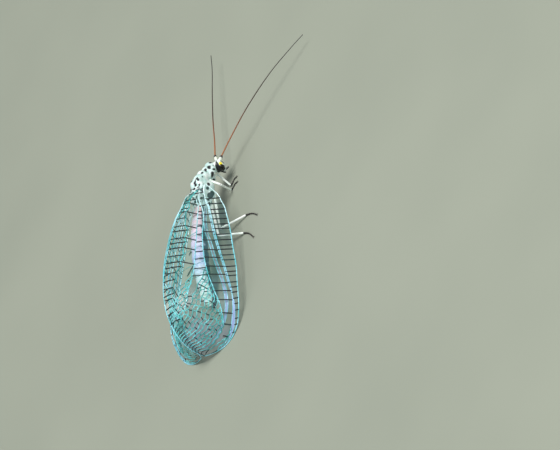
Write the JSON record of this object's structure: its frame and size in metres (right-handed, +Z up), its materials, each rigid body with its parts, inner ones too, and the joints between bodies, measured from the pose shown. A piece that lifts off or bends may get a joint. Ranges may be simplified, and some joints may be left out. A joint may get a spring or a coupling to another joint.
{
  "type": "lacewing insect",
  "caption": "Resting green lacewing, life size, with roofed clear wings, long feelers, slim abdomen and its head turned to its right.",
  "frame": {"origin": "on the floor, at the middle of the part's bounding box seen from above", "axes": "+Z up; the insect faces -Y, and its right side is towards -X"},
  "size_m": [0.0118, 0.0252, 0.0045],
  "materials": {
    "pale_body": "pale blue-green, satin, spotted black in the render",
    "abdomen": "lilac to pale blue, satin",
    "eye": "dark, glossy, with a golden glint",
    "antenna": "amber at the root to near black at the tip",
    "leg": "whitish, with dark feet",
    "wing": "clear membrane with a faint sheen and blue-green veins"
  },
  "bodies": {
    "root": {"head": "pale_body", "prothorax": "pale_body", "mesothorax": "pale_body", "metathorax": "pale_body", "abdomen": "abdomen", "eye_left": "eye", "eye_right": "eye", "antenna_left": "antenna", "antenna_right": "antenna", "foreleg_left": "leg", "foreleg_right": "leg", "midleg_left": "leg", "midleg_right": "leg", "hindleg_left": "leg", "hindleg_right": "leg", "forewing_left": "wing", "forewing_right": "wing", "hindwing_left": "wing", "hindwing_right": "wing"}
  },
  "joints": []
}
